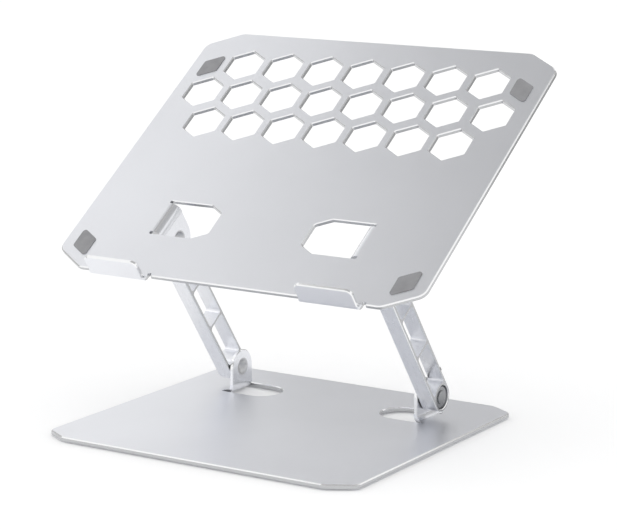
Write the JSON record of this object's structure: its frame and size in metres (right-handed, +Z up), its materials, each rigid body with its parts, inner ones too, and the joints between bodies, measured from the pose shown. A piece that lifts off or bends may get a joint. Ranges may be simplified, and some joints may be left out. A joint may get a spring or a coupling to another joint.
{
  "type": "laptop stand",
  "caption": "Folding sheet-metal laptop stand: base plate, ladder arms on friction hinges and a tilting vented platform with front hooks.",
  "frame": {"origin": "middle of the overall footprint, at the floor under the feet", "axes": "+X to the side along the hinge axes, -Y to the front hooks, +Z up"},
  "size_m": [0.26, 0.2222, 0.2264],
  "materials": {
    "sheet_aluminium": "satin anodised",
    "arm_aluminium": "satin anodised extrusion",
    "steel": "turned",
    "spring_steel": "oiled",
    "bush_polymer": "moulded",
    "grey_rubber": "matte silicone",
    "dark_rubber": "matte silicone"
  },
  "bodies": {
    "base": {"base_plate": "sheet_aluminium", "shaft_lower_right": "steel", "thrust_washer_lower_right": "bush_polymer", "disc_spring_lower_right": "spring_steel", "lock_nut_lower_right": "steel", "base_foot_front_right": "dark_rubber", "base_foot_rear_right": "dark_rubber", "shaft_lower_left": "steel", "thrust_washer_lower_left": "bush_polymer", "disc_spring_lower_left": "spring_steel", "lock_nut_lower_left": "steel", "base_foot_front_left": "dark_rubber", "base_foot_rear_left": "dark_rubber"},
    "right_arm": {"arm_right": "arm_aluminium", "arm_bumper_right": "dark_rubber", "friction_bush_lower_right": "bush_polymer", "friction_bush_upper_right": "bush_polymer"},
    "left_arm": {"arm_left": "arm_aluminium", "arm_bumper_left": "dark_rubber", "friction_bush_lower_left": "bush_polymer", "friction_bush_upper_left": "bush_polymer"},
    "platform": {"top_plate": "sheet_aluminium", "shaft_upper_right": "steel", "thrust_washer_upper_right": "bush_polymer", "disc_spring_upper_right": "spring_steel", "lock_nut_upper_right": "steel", "platform_pad_front_right": "grey_rubber", "platform_pad_rear_right": "grey_rubber", "shaft_upper_left": "steel", "thrust_washer_upper_left": "bush_polymer", "disc_spring_upper_left": "spring_steel", "lock_nut_upper_left": "steel", "platform_pad_front_left": "grey_rubber", "platform_pad_rear_left": "grey_rubber"}
  },
  "joints": [
    {"name": "arm_lift", "type": "hinge", "parent": "base", "child": "right_arm", "pos_m": [0, 0.04652, 0.0178], "axis": [1, 0, 0], "range_deg": [-34, 30]},
    {"name": "arm_lift_left", "type": "hinge", "parent": "base", "child": "left_arm", "pos_m": [0, 0.04652, 0.0178], "axis": [1, 0, 0], "range_deg": [-34, 30]},
    {"name": "platform_tilt", "type": "hinge", "parent": "right_arm", "child": "platform", "pos_m": [0, -0.02284, 0.11326], "axis": [1, 0, 0], "range_deg": [-45, 15]}
  ],
  "couplings": [
    {"joint": "arm_lift_left", "follows": "arm_lift", "ratio": 1}
  ]
}
